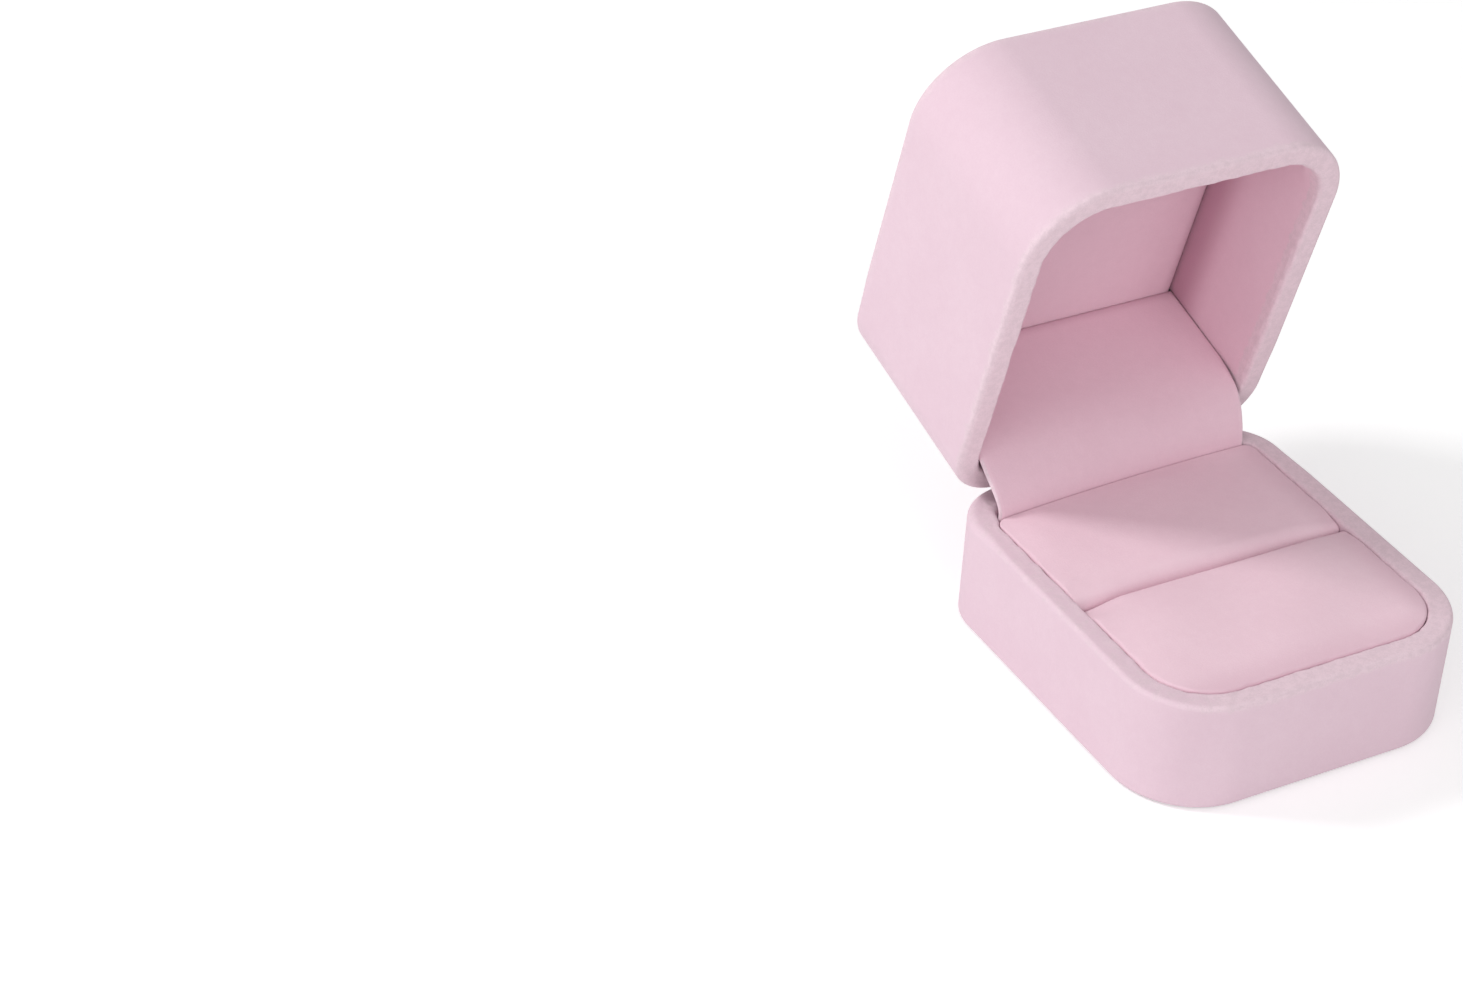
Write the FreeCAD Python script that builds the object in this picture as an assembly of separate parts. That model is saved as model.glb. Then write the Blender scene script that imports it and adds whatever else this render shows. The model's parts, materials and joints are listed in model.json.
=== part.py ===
"""Velvet ring box standing open: a cushioned base and a deep lid on a pin hinge.

Millimetres. +X to the right, front at -Y, hinge at +Y, +Z up, origin at the middle of the underside.
Every lid piece is drawn closed and then swung open about the hinge pin.
"""

import math
import os

import FreeCAD
import Part

V = FreeCAD.Vector

# Outside of the box
WIDTH = 55.0
DEPTH = 61.3
BASE_HEIGHT = 18.4
LID_HEIGHT = 33.3
FRONT_RADIUS = 13.0
BACK_RADIUS = 9.0
RIM_GAP = 0.4
OPEN_ANGLE = 75.0

# Walls: a moulded shell with velvet on both faces
VELVET = 0.8
SHELL_WALL = 2.2
RIM = SHELL_WALL + 2 * VELVET
RIM_OUTER_ROUND = 1.3
RIM_INNER_ROUND = 0.9
BOTTOM_ROUND = 0.9
TURN_IN = 8.0
TURN_UNDER = 6.0
PLATE = 2.0
FOOT_SHEET = 0.3
FOOT_INSET = 2.0

# Ring cushion: two crowned pads on one board, with the ring slot between them
CUSHION_BOARD = 1.0
PAD_CLEARANCE = 0.15
PAD_CROWN = 0.9
PAD_DROP = 1.1
PAD_ROUND = 1.0
SLOT_ROUND = 1.8
SLOT_Y = -0.1
SLOT_WIDTH = 1.0
REAR_PAD_BACK = 23.8

# Lid inside and lid top
CEILING_DEPTH = 21.5
CEILING_FOAM = 2.2
CEILING_BOARD = 1.2
CEILING_ROUND = 0.6
WALL_BOARD = 0.6
WALL_VELVET = 0.6
LINING_SETBACK = 1.0
LINING_BACK = 22.0
TOP_BOARD = 1.0
TOP_DROP = 0.6
TOP_ROUND = 1.4

# Hinge
HINGE_INSET = 0.95
PIN_RADIUS = 0.5
BARREL_RADIUS = 0.9
KNUCKLE_CLEARANCE = 0.05
KNUCKLE_GAP = 0.15
KNUCKLES = 5
HINGE_LENGTH = 35.0
LEAF_LENGTH = 11.0
LEAF_NECK = 2.4
NOTCH = 1.8
WINDOW_WIDTH = WIDTH - 2 * BACK_RADIUS
RIVET_X = 11.0
RIVET_OFFSET = 6.0
RIVET_RADIUS = 0.7
RIVET_HEAD_RADIUS = 1.4
RIVET_HEAD = 0.4
SPRING = 0.3
SPRING_LENGTH = 9.0

# Velvet that bends with the hinge
STRIP_LEG = 4.5
STRIP_BEND = 3.4
FLAP = 0.9
FLAP_WIDTH = 46.4
FLAP_TAIL_WIDTH = 43.0
FLAP_TAPER = 6.0
FLAP_BASE_Y = 24.0
FLAP_LID_Y = 21.4
FLAP_BEND = 9.5
FLAP_TAIL = 9.5
BACK_BOARD = 1.2
BACK_BOARD_LOW = 5.5

LID_Z = BASE_HEIGHT + RIM_GAP
LID_TOP = LID_Z + LID_HEIGHT
HINGE_Y = DEPTH / 2 - HINGE_INSET
HINGE_Z = BASE_HEIGHT + RIM_GAP / 2
SHELL_INNER_Y = DEPTH / 2 - VELVET - SHELL_WALL
LEAF = BARREL_RADIUS - PIN_RADIUS
FLOOR_Z = FOOT_SHEET + VELVET + PLATE
PAD_INSET = RIM + PAD_CLEARANCE
LINING_INSET = RIM - WALL_BOARD - WALL_VELVET
CEILING_Z = LID_Z + CEILING_DEPTH
PARTITION_Z = CEILING_Z + VELVET + CEILING_FOAM + CEILING_BOARD


def plan(inset, z):
    """Outline of the box seen from above, moved in by inset: wide round front corners, tighter back ones."""
    half = WIDTH / 2 - inset
    deep = DEPTH / 2 - inset
    corners = [
        (1, -1, FRONT_RADIUS - inset),
        (1, 1, BACK_RADIUS - inset),
        (-1, 1, BACK_RADIUS - inset),
        (-1, -1, FRONT_RADIUS - inset),
    ]
    points = []
    for index, (side, end, radius) in enumerate(corners):
        centre = V(side * (half - radius), end * (deep - radius), z)
        along_x = centre + V(0, end * radius, 0)
        along_y = centre + V(side * radius, 0, 0)
        middle = centre + V(side, end, 0) * (radius / math.sqrt(2))
        ends = (along_x, along_y) if index % 2 == 0 else (along_y, along_x)
        points.append((ends[0], middle, ends[1]))
    edges = []
    for index, (start, middle, end) in enumerate(points):
        edges.append(Part.Arc(start, middle, end).toShape())
        edges.append(Part.makeLine(end, points[(index + 1) % 4][0]))
    return Part.Wire(edges)


def block(inset, low, high):
    return Part.Face(plan(inset, low)).extrude(V(0, 0, high - low))


def ring(outer, inner, low, high):
    return block(outer, low, high).cut(block(inner, low, high))


def box(x, y, z):
    return Part.makeBox(x[1] - x[0], y[1] - y[0], z[1] - z[0], V(x[0], y[0], z[0]))


def rounded(shape, inset, z, radius):
    """Round the edges of a shape that lie on the outline of a given inset at height z."""
    outline = plan(inset, z)
    edges = []
    for edge in shape.Edges:
        if all(outline.distToShape(Part.Vertex(p))[0] < 1e-4 for p in edge.discretize(5)):
            edges.append(edge)
    return shape.makeFillet(radius, edges)


def domed(prism, crown, drop):
    """Prism cut to a domed top that falls by drop at the side walls."""
    reach = WIDTH / 2 - PAD_INSET
    radius = reach * reach / (2 * drop)
    dome = Part.makeSphere(radius)
    dome.rotate(V(0, 0, 0), V(0, 1, 0), 90)
    dome.translate(V(0, 0, crown - radius))
    return prism.common(dome)


def upper_edges(shape, low):
    """Edges of a pad above its straight sides, other than those that stand upright."""
    edges = []
    for edge in shape.Edges:
        start, end = edge.discretize(2)
        upright = abs(start.x - end.x) + abs(start.y - end.y) < 1e-6
        if edge.BoundBox.ZMin > low + 1e-3 and not upright:
            edges.append(edge)
    return edges


def swung(y, z):
    """Where a point of the closed lid lies once the lid stands open."""
    turn = math.radians(OPEN_ANGLE)
    across = y - HINGE_Y
    up = z - HINGE_Z
    return V(
        0,
        HINGE_Y + across * math.cos(turn) + up * math.sin(turn),
        HINGE_Z - across * math.sin(turn) + up * math.cos(turn),
    )


def bend_path(base_y, lid_y, radius, low, high):
    """Line up the base, an arc past the hinge and a line along the open lid, as four points and a middle."""
    turn = math.radians(OPEN_ANGLE)
    reach = radius * math.tan(turn / 2)
    lid_meet = HINGE_Z + (base_y - HINGE_Y - (lid_y - HINGE_Y) * math.cos(turn)) / math.sin(turn)
    corner = swung(lid_y, lid_meet)
    leave = V(0, base_y, corner.z - reach)
    middle = leave + V(0, radius * (1 - math.cos(turn / 2)), radius * math.sin(turn / 2))
    land = swung(lid_y, lid_meet + reach)
    return V(0, base_y, low), leave, middle, land, swung(lid_y, high)


def bent_sheet(base_y, lid_y, radius, thickness, low, high, width):
    """Sheet of even thickness that follows the bend path, with its far face towards the back."""
    near = bend_path(base_y, lid_y, radius, low, high)
    far = bend_path(base_y + thickness, lid_y + thickness, radius - thickness, low, high)
    edges = [
        Part.makeLine(near[0], near[1]),
        Part.Arc(near[1], near[2], near[3]).toShape(),
        Part.makeLine(near[3], near[4]),
        Part.makeLine(near[4], far[4]),
        Part.makeLine(far[4], far[3]),
        Part.Arc(far[3], far[2], far[1]).toShape(),
        Part.makeLine(far[1], far[0]),
        Part.makeLine(far[0], near[0]),
    ]
    sheet = Part.Face(Part.Wire(edges)).extrude(V(width, 0, 0))
    sheet.translate(V(-width / 2, 0, 0))
    return sheet


def hinge_window(leg):
    """Room in the back walls for the hinge, from leg below the rims to leg above them."""
    half = WINDOW_WIDTH / 2
    return box((-half, half), (SHELL_INNER_Y - 3, DEPTH), (BASE_HEIGHT - leg, LID_Z + leg))


def turn_in_window():
    half = WINDOW_WIDTH / 2
    reach = TURN_IN + 1
    return box((-half, half), (SHELL_INNER_Y - 3, SHELL_INNER_Y), (BASE_HEIGHT - reach, LID_Z + reach))


def rivet(x, z, head_y):
    """Rivet from the hinge leaf through the shell wall, with a flat head on the inside."""
    head = Part.makeCylinder(RIVET_HEAD_RADIUS, RIVET_HEAD, V(x, head_y - RIVET_HEAD, z), V(0, 1, 0))
    length = DEPTH / 2 - VELVET - head_y
    shank = Part.makeCylinder(RIVET_RADIUS, length, V(x, head_y, z), V(0, 1, 0))
    return head.fuse(shank).removeSplitter()


def rivet_pair(z, head_y):
    return [rivet(side * RIVET_X, z, head_y) for side in (-1, 1)]


def knuckle_spans(first):
    """X spans of every second knuckle, starting at the given one, with running gaps between them."""
    pitch = HINGE_LENGTH / KNUCKLES
    spans = []
    for index in range(first, KNUCKLES, 2):
        start = -HINGE_LENGTH / 2 + index * pitch
        spans.append((start + KNUCKLE_GAP / 2, start + pitch - KNUCKLE_GAP / 2))
    return spans


def hinge_leaf(first, side, bore):
    """Rolled steel leaf: a plate on the inner face of the wall, and a web and a rolled knuckle on each span."""
    half = HINGE_LENGTH / 2
    web = sorted((HINGE_Z + side * PIN_RADIUS, HINGE_Z + side * BARREL_RADIUS))
    neck = sorted((HINGE_Z + side * PIN_RADIUS, HINGE_Z + side * LEAF_NECK))
    plate = sorted((HINGE_Z + side * LEAF_NECK, HINGE_Z + side * LEAF_LENGTH))
    thick = (SHELL_INNER_Y - LEAF, SHELL_INNER_Y)
    leaf = box((-half, half), thick, plate)
    for span in knuckle_spans(first):
        start = V(span[0], HINGE_Y, HINGE_Z)
        barrel = Part.makeCylinder(BARREL_RADIUS, span[1] - span[0], start, V(1, 0, 0))
        leaf = leaf.fuse([box(span, thick, neck), box(span, (thick[0], HINGE_Y), web), barrel])
    hole = Part.makeCylinder(bore, WIDTH, V(-WIDTH / 2, HINGE_Y, HINGE_Z), V(1, 0, 0))
    return leaf.cut(hole).removeSplitter()


def spring_fingers():
    """Flat spring on the base leaf, with a finger that bears on each lid knuckle and holds the lid."""
    half = HINGE_LENGTH / 2 - 1
    near = SHELL_INNER_Y - LEAF - SPRING
    top = HINGE_Z - NOTCH
    spring = box((-half, half), (near, near + SPRING), (top - SPRING_LENGTH, top))
    start = V(0, near + SPRING / 2, top)
    tip = V(0, HINGE_Y - BARREL_RADIUS - SPRING / 2, HINGE_Z - SPRING / 2)
    slope = math.degrees(math.atan2(tip.z - start.z, tip.y - start.y))
    for span in knuckle_spans(1):
        width = span[1] - span[0] - 2
        finger = Part.makeBox(width, start.distanceToPoint(tip), SPRING)
        finger.translate(V(span[0] + 1, 0, -SPRING / 2))
        finger.rotate(V(0, 0, 0), V(1, 0, 0), slope)
        finger.translate(V(0, start.y, start.z))
        spring = spring.fuse(finger)
    return spring.removeSplitter()


def base_pieces():
    low = FOOT_SHEET
    top = BASE_HEIGHT - VELVET
    shell = block(VELVET, low + VELVET, top).cut(block(VELVET + SHELL_WALL, FLOOR_Z, top))
    shell = rounded(shell, VELVET, top, RIM_OUTER_ROUND - VELVET)
    shell = rounded(shell, VELVET + SHELL_WALL, top, RIM_INNER_ROUND - VELVET)
    shell = rounded(shell, VELVET, low + VELVET, BOTTOM_ROUND - VELVET)
    shell = shell.fuse(block(TURN_UNDER, low, low + VELVET)).removeSplitter()

    wrap = block(0, low, BASE_HEIGHT).cut(block(RIM, BASE_HEIGHT - TURN_IN, BASE_HEIGHT))
    wrap = rounded(wrap, 0, BASE_HEIGHT, RIM_OUTER_ROUND)
    wrap = rounded(wrap, RIM, BASE_HEIGHT, RIM_INNER_ROUND)
    wrap = rounded(wrap, 0, low, BOTTOM_ROUND)
    wrap = wrap.cut([shell, block(VELVET + SHELL_WALL, FLOOR_Z, BASE_HEIGHT - TURN_IN)])
    wrap = wrap.cut([hinge_window(STRIP_LEG), turn_in_window()])

    leaf = hinge_leaf(0, -1, PIN_RADIUS)
    rivets = rivet_pair(BASE_HEIGHT - RIVET_OFFSET, SHELL_INNER_Y - LEAF - SPRING)
    return {
        "base_shell": shell.cut([hinge_window(NOTCH - RIM_GAP / 2)] + rivets),
        "base_wrap": wrap,
        "foot_sheet": block(FOOT_INSET, 0, FOOT_SHEET),
        "hinge_base_leaf": leaf.cut(rivets),
        "hinge_spring": spring_fingers().cut(rivets),
        "hinge_pin": Part.makeCylinder(
            PIN_RADIUS, HINGE_LENGTH, V(-HINGE_LENGTH / 2, HINGE_Y, HINGE_Z), V(1, 0, 0)
        ),
        "base_hinge_rivets": Part.makeCompound(rivets),
    }


def rolled_pad(prism, crown, inset):
    """Domed pad with a wide roll along the ring slot and a tight roll where it meets the rim."""
    low = prism.BoundBox.ZMin
    pad = domed(prism, crown, PAD_DROP)
    lips = []
    for edge in upper_edges(pad, low):
        if all(abs(p.y - SLOT_Y) < SLOT_WIDTH / 2 + inset + 1e-3 for p in edge.discretize(5)):
            lips.append(edge)
    pad = pad.makeFillet(SLOT_ROUND - inset, lips)
    outline = plan(PAD_INSET + inset, 0)
    rest = []
    for edge in upper_edges(pad, low):
        feet = [Part.Vertex(p.x, p.y, 0) for p in edge.discretize(5)]
        on_wall = all(outline.distToShape(foot)[0] < 1e-3 for foot in feet)
        on_back = all(abs(foot.Y - REAR_PAD_BACK + inset) < 1e-3 for foot in feet)
        if on_wall or on_back:
            rest.append(edge)
    return pad.makeFillet(PAD_ROUND - inset, rest)


def cushion_pieces():
    """Two foam pads under velvet, pressed into the base on one board."""
    low = FLOOR_Z + CUSHION_BOARD
    crown = BASE_HEIGHT + PAD_CROWN
    spans = {
        "front": (-DEPTH, SLOT_Y - SLOT_WIDTH / 2),
        "rear": (SLOT_Y + SLOT_WIDTH / 2, REAR_PAD_BACK),
    }
    pieces = {"cushion_board": block(PAD_INSET, FLOOR_Z, low).common(
        box((-WIDTH, WIDTH), (-DEPTH, REAR_PAD_BACK), (0, BASE_HEIGHT))
    )}
    for name, (front, back) in spans.items():
        outer = block(PAD_INSET, low, crown + 1)
        outer = outer.common(box((-WIDTH, WIDTH), (front, back), (0, 2 * BASE_HEIGHT)))
        inner = block(PAD_INSET + VELVET, low, crown + 1)
        inner_span = (front + VELVET, back - VELVET)
        inner = inner.common(box((-WIDTH, WIDTH), inner_span, (0, 2 * BASE_HEIGHT)))
        foam = rolled_pad(inner, crown - VELVET, VELVET)
        pieces[name + "_foam"] = foam
        pieces[name + "_cushion_cover"] = rolled_pad(outer, crown, 0).cut(foam)
    return pieces


def lining_space(outer, inner, low):
    """Band along the left, front and right walls inside the lid, from low up to the partition."""
    walls = box((-WIDTH, WIDTH), (-DEPTH, LINING_BACK), (0, LID_TOP))
    return ring(outer, inner, low, PARTITION_Z).common(walls)


def lid_shell_pieces():
    """Shell with a partition and a shallow rebate for the wall lining, and the velvet wrapped over it."""
    low = LID_Z + VELVET
    top = LID_TOP - VELVET
    shell = ring(VELVET, VELVET + SHELL_WALL, low, top)
    wrap = ring(0, RIM, LID_Z, LID_TOP)
    for edge in (low, top):
        shell = rounded(shell, VELVET, edge, RIM_OUTER_ROUND - VELVET)
        shell = rounded(shell, VELVET + SHELL_WALL, edge, RIM_INNER_ROUND - VELVET)
    for edge in (LID_Z, LID_TOP):
        wrap = rounded(wrap, 0, edge, RIM_OUTER_ROUND)
        wrap = rounded(wrap, RIM, edge, RIM_INNER_ROUND)
    shell = shell.fuse(block(VELVET + SHELL_WALL / 2, PARTITION_Z, PARTITION_Z + PLATE)).removeSplitter()
    wrap = wrap.cut([shell, block(VELVET + SHELL_WALL, LID_Z + TURN_IN, PARTITION_Z + PLATE)])
    wrap = wrap.cut([hinge_window(STRIP_LEG), turn_in_window()])
    rebate = lining_space(LINING_INSET, RIM, LID_Z + LINING_SETBACK)
    wrap = wrap.cut(rebate)

    rivets = rivet_pair(LID_Z + RIVET_OFFSET, SHELL_INNER_Y - LEAF)
    return {
        "lid_shell": shell.cut([rebate, hinge_window(NOTCH - RIM_GAP / 2)] + rivets),
        "lid_wrap": wrap,
        "hinge_lid_leaf": hinge_leaf(1, 1, PIN_RADIUS + KNUCKLE_CLEARANCE).cut(rivets),
        "lid_hinge_rivets": Part.makeCompound(rivets),
    }


def lid_lining_pieces():
    """Padded ceiling, a lined card round the side and front walls, and a card behind the hinge flap."""
    board_z = PARTITION_Z - CEILING_BOARD
    foam = block(PAD_INSET + VELVET, CEILING_Z + VELVET, board_z)
    cover = rounded(block(PAD_INSET, CEILING_Z, board_z), PAD_INSET, CEILING_Z, CEILING_ROUND).cut(foam)

    low = LID_Z + LINING_SETBACK
    card = lining_space(LINING_INSET, LINING_INSET + WALL_BOARD, low + WALL_VELVET)
    lining = lining_space(LINING_INSET, RIM, low).cut(card)

    half = FLAP_WIDTH / 2 - 0.5
    card_y = FLAP_LID_Y + FLAP
    card_z = (LID_Z + BACK_BOARD_LOW, CEILING_Z - PAD_CLEARANCE)
    return {
        "lid_ceiling_board": block(PAD_INSET, board_z, PARTITION_Z),
        "lid_ceiling_foam": foam,
        "lid_ceiling_cover": cover,
        "lid_wall_board": card,
        "lid_wall_lining": lining,
        "lid_back_board": box((-half, half), (card_y, card_y + BACK_BOARD), card_z),
    }


def lid_top_pieces():
    """Padded velvet panel let into the top of the lid."""
    low = PARTITION_Z + PLATE
    foot = low + TOP_BOARD
    foam = domed(block(PAD_INSET + VELVET, foot, LID_TOP), LID_TOP - VELVET, TOP_DROP)
    foam = foam.makeFillet(TOP_ROUND - VELVET, upper_edges(foam, foot))
    cover = domed(block(PAD_INSET, foot, LID_TOP + 1), LID_TOP, TOP_DROP)
    cover = cover.makeFillet(TOP_ROUND, upper_edges(cover, foot))
    return {
        "lid_top_board": block(PAD_INSET, low, low + TOP_BOARD),
        "lid_top_foam": foam,
        "lid_top_cover": cover.cut(foam),
    }


def bending_pieces():
    """Velvet over the back of the hinge, and the velvet tongue that hides the hinge from inside."""
    leg = STRIP_LEG - 0.05
    strip = bent_sheet(
        DEPTH / 2 - VELVET,
        DEPTH / 2 - VELVET,
        STRIP_BEND,
        VELVET,
        BASE_HEIGHT - leg,
        LID_Z + leg,
        WINDOW_WIDTH - 0.1,
    )
    flap = bent_sheet(
        FLAP_BASE_Y,
        FLAP_LID_Y,
        FLAP_BEND,
        FLAP,
        BASE_HEIGHT - FLAP_TAIL,
        CEILING_Z - PAD_CLEARANCE,
        FLAP_WIDTH,
    )
    for side in (-1, 1):
        tail = side * FLAP_TAIL_WIDTH / 2
        full = side * FLAP_WIDTH / 2
        corners = [
            V(tail, 0, 0),
            V(tail, 0, LID_Z),
            V(full, 0, LID_Z + FLAP_TAPER),
            V(2 * full, 0, LID_Z + FLAP_TAPER),
            V(2 * full, 0, 0),
            V(tail, 0, 0),
        ]
        flap = flap.cut(Part.Face(Part.makePolygon(corners)).extrude(V(0, DEPTH, 0)))
    return {"hinge_back_strip": strip, "hinge_flap": flap}


fixed = {**base_pieces(), **cushion_pieces(), **bending_pieces()}
lid = {**lid_shell_pieces(), **lid_lining_pieces(), **lid_top_pieces()}
for piece in lid.values():
    piece.rotate(V(0, HINGE_Y, HINGE_Z), V(1, 0, 0), -OPEN_ANGLE)

os.makedirs("parts", exist_ok=True)
for node, shape in {**fixed, **lid}.items():
    shape.exportStep("parts/" + node + ".step")
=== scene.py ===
import json
import math

import bpy
import numpy as np
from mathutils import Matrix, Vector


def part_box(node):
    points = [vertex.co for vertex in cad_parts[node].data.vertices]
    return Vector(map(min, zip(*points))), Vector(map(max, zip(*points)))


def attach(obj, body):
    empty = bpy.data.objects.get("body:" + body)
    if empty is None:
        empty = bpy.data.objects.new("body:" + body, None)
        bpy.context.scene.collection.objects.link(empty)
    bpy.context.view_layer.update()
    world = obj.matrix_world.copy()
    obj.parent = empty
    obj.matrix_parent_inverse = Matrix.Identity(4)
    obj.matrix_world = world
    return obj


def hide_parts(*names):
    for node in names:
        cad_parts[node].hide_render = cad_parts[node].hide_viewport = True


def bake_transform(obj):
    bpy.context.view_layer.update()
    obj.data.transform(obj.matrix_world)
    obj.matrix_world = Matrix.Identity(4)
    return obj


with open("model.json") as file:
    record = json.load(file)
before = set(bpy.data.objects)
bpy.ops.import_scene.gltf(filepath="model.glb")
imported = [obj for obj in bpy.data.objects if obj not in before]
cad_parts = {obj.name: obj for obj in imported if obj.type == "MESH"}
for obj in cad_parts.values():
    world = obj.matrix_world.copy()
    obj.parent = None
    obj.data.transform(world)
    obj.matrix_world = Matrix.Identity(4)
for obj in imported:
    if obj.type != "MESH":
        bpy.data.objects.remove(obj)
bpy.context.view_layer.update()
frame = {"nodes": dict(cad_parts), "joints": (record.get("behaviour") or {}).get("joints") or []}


# Base shell: an injection-moulded tub of matt off-white plastic, notched at the back for the hinge.
# Velvet is glued over both faces of its wall, so it only shows through the gap at the hinge.
MIX_FACTOR, MIX_UNDER, MIX_OVER, MIX_RESULT = 0, 6, 7, 2


def grained(name, colour, shade, size_mm, roughness, relief_mm, metallic=0.0):
    """Material whose colour drifts between two tones over a noise of the given grain, with a bump on
    the same noise. The mix node's colour sockets share their names with others, so they go by number."""
    material = bpy.data.materials.new(name)
    material.use_nodes = True
    nodes, links = material.node_tree.nodes, material.node_tree.links
    shader = nodes["Principled BSDF"]
    shader.inputs["Roughness"].default_value = roughness
    shader.inputs["Metallic"].default_value = metallic
    place = nodes.new("ShaderNodeTexCoord")
    grain = nodes.new("ShaderNodeTexNoise")
    grain.inputs["Scale"].default_value = 1000 / size_mm
    grain.inputs["Detail"].default_value = 4
    tone = nodes.new("ShaderNodeMix")
    tone.data_type = "RGBA"
    tone.inputs[MIX_UNDER].default_value = (*colour, 1)
    tone.inputs[MIX_OVER].default_value = (*shade, 1)
    bump = nodes.new("ShaderNodeBump")
    bump.inputs["Strength"].default_value = 0.6
    bump.inputs["Distance"].default_value = relief_mm / 1000
    links.new(place.outputs["Object"], grain.inputs["Vector"])
    links.new(grain.outputs["Fac"], tone.inputs[MIX_FACTOR])
    links.new(tone.outputs[MIX_RESULT], shader.inputs["Base Color"])
    links.new(grain.outputs["Fac"], bump.inputs["Height"])
    links.new(bump.outputs["Normal"], shader.inputs["Normal"])
    return material


def dress(material, *nodes):
    """Gives CAD nodes a material in place of the one they came with."""
    for name in nodes:
        mesh = frame["nodes"][name].data
        mesh.materials.clear()
        mesh.materials.append(material)


shell_plastic = grained(
    "shell_plastic",
    colour=(0.74, 0.70, 0.70),
    shade=(0.66, 0.62, 0.62),
    size_mm=0.6,
    roughness=0.55,
    relief_mm=0.02,
)
dress(shell_plastic, "base_shell")


# Base wrap: one strip of short-pile pink velvet glued round the base, over the rim and down the
# inside, and turned under the floor. Along the rim the pile is crushed, so it looks greyer and
# ragged there, and less so on the left. At the back left it fills the inside corner by the flap.
base_low, base_high = (np.array(corner) * 1000 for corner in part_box("base_wrap"))
WIDTH, DEPTH = (base_high - base_low)[:2]
FOOT, BASE_HEIGHT = base_low[2], base_high[2]
FRONT_RADIUS, BACK_RADIUS = 13.0, 9.0
RIM = 3.8
RIM_ROUND, BACK_RIM_ROUND, INNER_ROUND = 0.8, 1.3, 0.7
ROUNDER_BACK = (12, 22)
BOTTOM_ROUND = 0.8
TURN_UNDER, TURN_IN = 6.0, 8.0
HINGE_WINDOW = 4.5
CORNER_FILL, FILL_ALONG_X, FILL_ALONG_Y = 0.7, (18.5, 20.5), (21.0, 22.4)
VELVET = 0.7
OUTLINE_STEP, WALL_STEP, TURN_STEP = 0.42, 1.0, 0.8
RIM_POINTS = 12
CRUSH_STARTS, CRUSH_FULL = 1.6, 0.3
LESS_CRUSHED, LEFT_RIM = 0.45, (12, 26)
RAGGED, RAGGED_SPREAD = 0.13, 2.0
BLUR_ALONG, BLUR_ACROSS = 0.20, 0.12
BASE_PILE_SEED = 1
PILE_MM, BRUSH_MM, TUFT_MM, CLOUD_MM = 0.24, 1.5, 1.0, 14
PILE_RELIEF_MM = 0.06
CRUSHED_PINK, CRUSHED_SHADE = (0.825, 0.645, 0.71), 0.9
# Painted shade: the share of deep_pink that shaded places are darkened towards.
PAINTED_SHADE_TINT = (0.72, 0.58, 0.64)


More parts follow.
